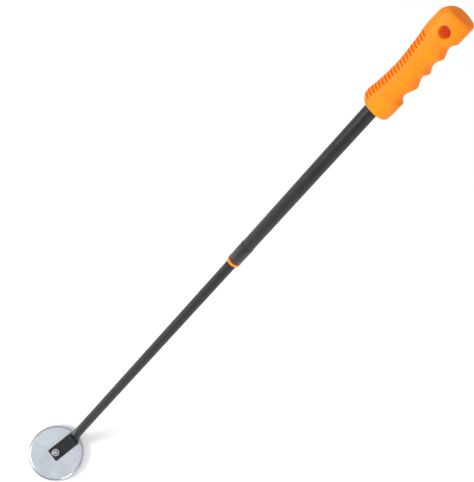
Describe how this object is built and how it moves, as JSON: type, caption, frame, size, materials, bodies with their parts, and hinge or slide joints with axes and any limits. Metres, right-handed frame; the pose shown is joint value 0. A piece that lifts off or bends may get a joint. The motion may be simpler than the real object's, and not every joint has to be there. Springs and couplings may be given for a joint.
{
  "type": "magnetic nail sweeper",
  "caption": "Hand-held magnetic pick-up tool: round cup magnet bolted to a flattened, bent tube end, telescoping tube handle and an orange finger grip with a hanging hole.",
  "frame": {"origin": "centre of the magnet's flat working face, which rests on the ground", "axes": "+Z out of the magnet's back, +X the way the handle leans as it rises, the handle's axis lies in the XZ plane, finger grooves face -Y"},
  "size_m": [0.6246, 0.0888, 0.8265],
  "materials": {
    "chrome_cup": "bright chrome plate, satin on the flat back",
    "ferrite": "dull sintered ferrite",
    "nickel_face": "brushed nickel-plated steel, warm grey",
    "black_filler": "matte black filler",
    "zinc_steel": "bright zinc",
    "charcoal_tube": "satin charcoal powder coat",
    "nylon_white": "natural nylon",
    "black_plastic": "satin black plastic",
    "orange_plastic": "orange moulded plastic",
    "orange_rubber": "soft matte orange moulding"
  },
  "bodies": {
    "head": {"magnet_cup": "chrome_cup", "ring_magnet": "ferrite", "pole_plate": "nickel_face", "gap_ring": "black_filler", "head_stud": "zinc_steel", "head_nut": "zinc_steel", "lower_tube": "charcoal_tube", "lock_spigot": "nylon_white", "spigot_pin": "zinc_steel"},
    "bush": {"friction_bush": "nylon_white"},
    "handle": {"upper_tube": "charcoal_tube", "end_sleeve": "black_plastic", "collar_bush": "orange_plastic", "tube_plug": "black_plastic", "grip": "orange_rubber"}
  },
  "joints": [
    {"name": "tube_twist", "type": "hinge", "parent": "head", "child": "bush", "pos_m": [0.34865, 0, 0.49135], "axis": [0.5592, 0, 0.829], "continuous": true},
    {"name": "telescope", "type": "slide", "parent": "bush", "child": "handle", "axis": [-0.5592, 0, -0.829], "range_m": [0, 0.338]}
  ]
}
